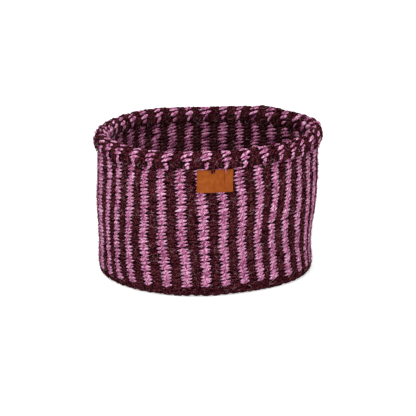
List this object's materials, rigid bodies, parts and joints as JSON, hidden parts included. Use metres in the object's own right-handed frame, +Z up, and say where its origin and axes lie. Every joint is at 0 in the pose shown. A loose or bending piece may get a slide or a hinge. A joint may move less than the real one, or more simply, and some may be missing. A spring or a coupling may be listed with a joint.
{
  "type": "kiondo basket",
  "caption": "Low round twined basket with upright two-colour stripes, a flat base, a folded cuff at the open top and a blank leather label.",
  "frame": {"origin": "centre of the flat underside, where the basket stands on a surface", "axes": "+Z up through the open top, -Y towards the side with the label, +X to the right of the label"},
  "size_m": [0.27, 0.2698, 0.17],
  "materials": {
    "pink_yarn": "matt spun fibre with a slight sheen",
    "dark_yarn": "matt spun fibre, slightly hairy",
    "warp_fibre": "matt hard-twisted plant fibre",
    "tan_leather": "smooth vegetable-tanned leather, satin"
  },
  "bodies": {
    "root": {"outer_dark_weft": "dark_yarn", "outer_pink_weft": "pink_yarn", "inner_dark_weft": "dark_yarn", "inner_pink_weft": "pink_yarn", "base_lower_weft": "dark_yarn", "base_upper_weft": "dark_yarn", "base_start": "warp_fibre", "foot_rows": "dark_yarn", "rim_core": "warp_fibre", "rim_cuff": "dark_yarn", "leather_label": "tan_leather", "label_stitch_1": "dark_yarn", "label_stitch_2": "dark_yarn", "warp_cord_01": "warp_fibre", "warp_cord_02": "warp_fibre", "warp_cord_03": "warp_fibre", "warp_cord_04": "warp_fibre", "warp_cord_05": "warp_fibre", "warp_cord_06": "warp_fibre", "warp_cord_07": "warp_fibre", "warp_cord_08": "warp_fibre", "warp_cord_09": "warp_fibre", "warp_cord_10": "warp_fibre", "warp_cord_11": "warp_fibre", "warp_cord_12": "warp_fibre", "warp_cord_13": "warp_fibre", "warp_cord_14": "warp_fibre", "warp_cord_15": "warp_fibre", "warp_cord_16": "warp_fibre", "warp_cord_17": "warp_fibre", "warp_cord_18": "warp_fibre", "warp_cord_19": "warp_fibre", "warp_cord_20": "warp_fibre", "warp_cord_21": "warp_fibre", "warp_cord_22": "warp_fibre", "warp_cord_23": "warp_fibre", "warp_cord_24": "warp_fibre", "warp_cord_25": "warp_fibre", "warp_cord_26": "warp_fibre", "warp_cord_27": "warp_fibre", "warp_cord_28": "warp_fibre", "warp_cord_29": "warp_fibre", "warp_cord_30": "warp_fibre", "warp_cord_31": "warp_fibre", "warp_cord_32": "warp_fibre", "warp_cord_33": "warp_fibre", "warp_cord_34": "warp_fibre", "warp_cord_35": "warp_fibre", "warp_cord_36": "warp_fibre", "warp_cord_37": "warp_fibre"}
  },
  "joints": []
}
